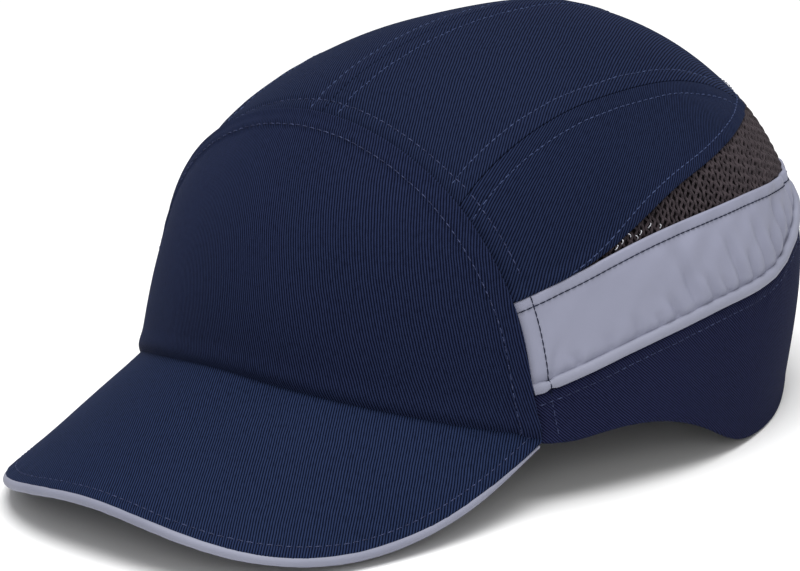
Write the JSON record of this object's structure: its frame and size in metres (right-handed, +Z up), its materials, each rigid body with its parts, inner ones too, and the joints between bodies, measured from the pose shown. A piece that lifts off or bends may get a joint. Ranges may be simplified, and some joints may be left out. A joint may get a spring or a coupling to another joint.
{
  "type": "bump cap",
  "caption": "Navy twill bump cap with cambered peak, grey reflective side bands, mesh vents, removable padded plastic liner and rear hook-and-loop strap.",
  "frame": {"origin": "middle of the cap's bounding box, on the surface it rests on", "axes": "+Y towards the back of the cap, with the peak towards -Y; +X towards the wearer's left; +Z up"},
  "size_m": [0.1752, 0.2626, 0.1198],
  "materials": {
    "navy_twill": "matte twill",
    "reflective_fabric": "fine reflective grain",
    "vent_mesh": "open knit",
    "navy_tape": "woven tape",
    "sweat_fabric": "soft terry",
    "liner_plastic": "satin moulded",
    "peak_plastic": "matte sheet",
    "foam": "soft foam",
    "strap_webbing": "hook-and-loop tape"
  },
  "bodies": {
    "cap": {"arch_binding": "navy_tape", "band_piping": "reflective_fabric", "centre_seam_tape": "navy_tape", "crown_side_panel_left": "navy_twill", "crown_side_panel_right": "navy_twill", "crown_top_panel_left": "navy_twill", "crown_top_panel_right": "navy_twill", "front_panel": "navy_twill", "front_seam_tape": "navy_tape", "loop_patch": "strap_webbing", "loop_strap": "strap_webbing", "lower_rear_panel_left": "navy_twill", "lower_rear_panel_right": "navy_twill", "mesh_vent": "vent_mesh", "peak_board": "peak_plastic", "peak_piping": "reflective_fabric", "peak_top_cover": "navy_twill", "peak_under_cover": "navy_twill", "reflective_band_left": "reflective_fabric", "reflective_band_right": "reflective_fabric", "side_seam_tape_left": "navy_tape", "side_seam_tape_right": "navy_tape", "sweatband": "sweat_fabric"},
    "strap": {"hook_strap": "strap_webbing", "hook_patch": "strap_webbing"},
    "liner": {"crown_pad": "foam", "front_pad": "foam", "liner_shell": "liner_plastic", "rear_pad": "foam", "side_pad_left": "foam", "side_pad_right": "foam"}
  },
  "joints": [
    {"name": "strap_adjust", "type": "hinge", "parent": "cap", "child": "strap", "pos_m": [0, 0.04416, 0.02075], "axis": [0, 0.0209, 0.9998], "range_deg": [-8, 8]},
    {"name": "liner_release", "type": "slide", "parent": "cap", "child": "liner", "axis": [0, -0.0209, -0.9998], "range_m": [0, 0.05]}
  ]
}
